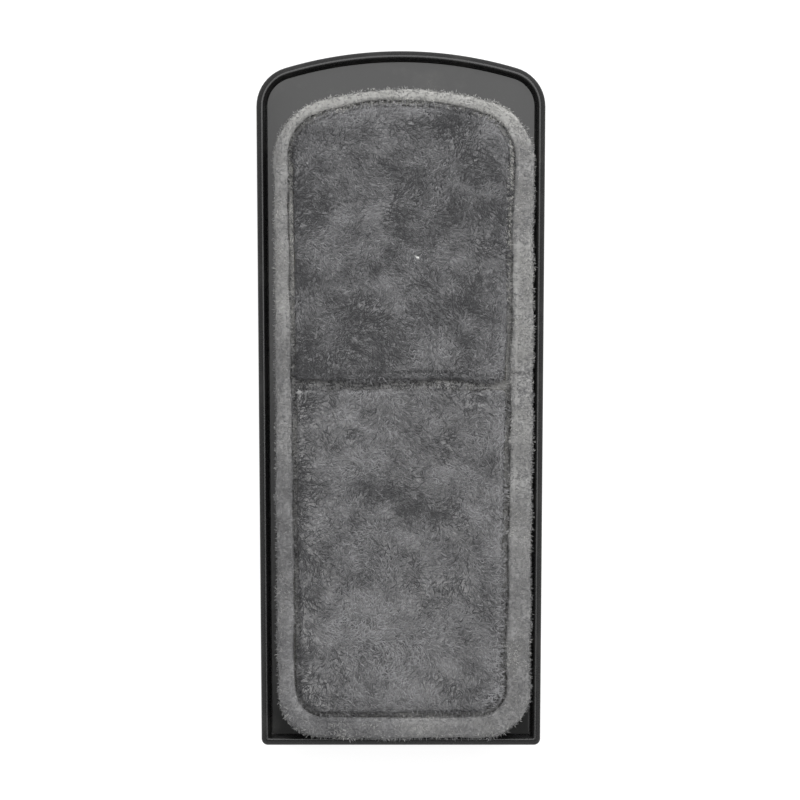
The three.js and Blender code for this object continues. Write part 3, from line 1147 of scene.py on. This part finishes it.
def build_camera(studio):
    """A camera straight above the wiping face."""
    data = bpy.data.cameras.new("camera")
    data.lens = studio.lens
    data.sensor_width = SENSOR
    span = (SHELL.top - SHELL.bottom) / VIEW_SHARE
    camera = bpy.data.objects.new("camera", data)
    camera.location = (*VIEW_SHIFT, SHELL_HIGH.z + span * studio.lens / SENSOR)
    bpy.context.scene.collection.objects.link(camera)
    bpy.context.scene.camera = camera


# ---------------------------------------------------------------- operators
class ERASER_OT_stage(bpy.types.Operator):
    """Makes the floor, the studio dome, the lights and the camera"""

    bl_idname = "eraser.stage"
    bl_label = "Stage"

    def execute(self, context):
        studio = context.scene.eraser_studio
        context.scene.view_settings.view_transform = "Standard"
        build_camera(studio)
        build_floor()
        build_world()
        area_light("large_softbox", (0.16, 0.605, 1.17), (1.5, 1.69), studio.soft_power)
        area_light("key_softbox", (0.55, 0.95, 0.75), (0.5, 0.5), studio.key_power)
        return {"FINISHED"}


class ERASER_OT_back_shell(bpy.types.Operator):
    """Makes the moulded back"""

    bl_idname = "eraser.back_shell"
    bl_label = "Back shell"

    def execute(self, context):
        build_back_shell(context.scene.eraser_shell)
        return {"FINISHED"}


class ERASER_OT_carrier_plate(bpy.types.Operator):
    """Makes the plate that the pad is bonded to"""

    bl_idname = "eraser.carrier_plate"
    bl_label = "Carrier plate"

    def execute(self, context):
        build_carrier_plate(context.scene.eraser_shell)
        return {"FINISHED"}


class ERASER_OT_adhesive(bpy.types.Operator):
    """Gives the set films of adhesive their finish"""

    bl_idname = "eraser.adhesive"
    bl_label = "Adhesive"

    def execute(self, context):
        material = set_adhesive()
        films = [node for name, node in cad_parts.items() if name.endswith("bonding_film")]
        if not films:
            raise RuntimeError("the frame has no bonding films")
        for film in films:
            film.material_slots[0].material = material
        return {"FINISHED"}


class ERASER_OT_felt_plies(bpy.types.Operator):
    """Makes the two thick felt plies"""

    bl_idname = "eraser.felt_plies"
    bl_label = "Felt plies"

    def execute(self, context):
        wool = context.scene.eraser_felt
        build_groove_hairs(wool, build_felt_plies(wool))
        return {"FINISHED"}


class ERASER_OT_border_strip(bpy.types.Operator):
    """Makes the felt strip round the pad, with its fuzz"""

    bl_idname = "eraser.border_strip"
    bl_label = "Border strip"

    def execute(self, context):
        wool = context.scene.eraser_felt
        build_strip_fibres(wool, build_border_strip(wool))
        return {"FINISHED"}


class ERASER_OT_panels(bpy.types.Operator):
    """Makes the two felt panels, with their fibres and lint"""

    bl_idname = "eraser.panels"
    bl_label = "Felt panels"

    def execute(self, context):
        wool = context.scene.eraser_felt
        for seed, (panel, outline) in enumerate(zip(build_panels(wool), (ARCHED_PANEL, SQUARE_PANEL))):
            build_panel_fibres(wool, panel, seed, outline)
        build_lint(wool)
        return {"FINISHED"}


class ERASER_PT_tools(bpy.types.Panel):
    """The eraser's settings, and a button for each group of pieces"""

    bl_label = "Chalkboard Eraser"
    bl_space_type = "VIEW_3D"
    bl_region_type = "UI"
    bl_category = "Eraser"

    def draw(self, context):
        for group in (context.scene.eraser_shell, context.scene.eraser_felt, context.scene.eraser_studio):
            box = self.layout.box()
            for name in group.__annotations__:
                box.prop(group, name)
        for operator in OPERATORS:
            self.layout.operator(operator.bl_idname)


OPERATORS = (
    ERASER_OT_stage,
    ERASER_OT_back_shell,
    ERASER_OT_carrier_plate,
    ERASER_OT_adhesive,
    ERASER_OT_felt_plies,
    ERASER_OT_border_strip,
    ERASER_OT_panels,
)
CLASSES = (EraserShellSettings, EraserFeltSettings, EraserStudioSettings, *OPERATORS, ERASER_PT_tools)


def register():
    for cls in CLASSES:
        bpy.utils.register_class(cls)
    bpy.types.Scene.eraser_shell = PointerProperty(type=EraserShellSettings)
    bpy.types.Scene.eraser_felt = PointerProperty(type=EraserFeltSettings)
    bpy.types.Scene.eraser_studio = PointerProperty(type=EraserStudioSettings)


def unregister():
    del bpy.types.Scene.eraser_studio
    del bpy.types.Scene.eraser_felt
    del bpy.types.Scene.eraser_shell
    for cls in reversed(CLASSES):
        bpy.utils.unregister_class(cls)


def main():
    register()
    bpy.ops.eraser.stage()
    bpy.ops.eraser.back_shell()
    bpy.ops.eraser.carrier_plate()
    bpy.ops.eraser.adhesive()
    bpy.ops.eraser.felt_plies()
    bpy.ops.eraser.border_strip()
    bpy.ops.eraser.panels()


if __name__ == "__main__":
    main()
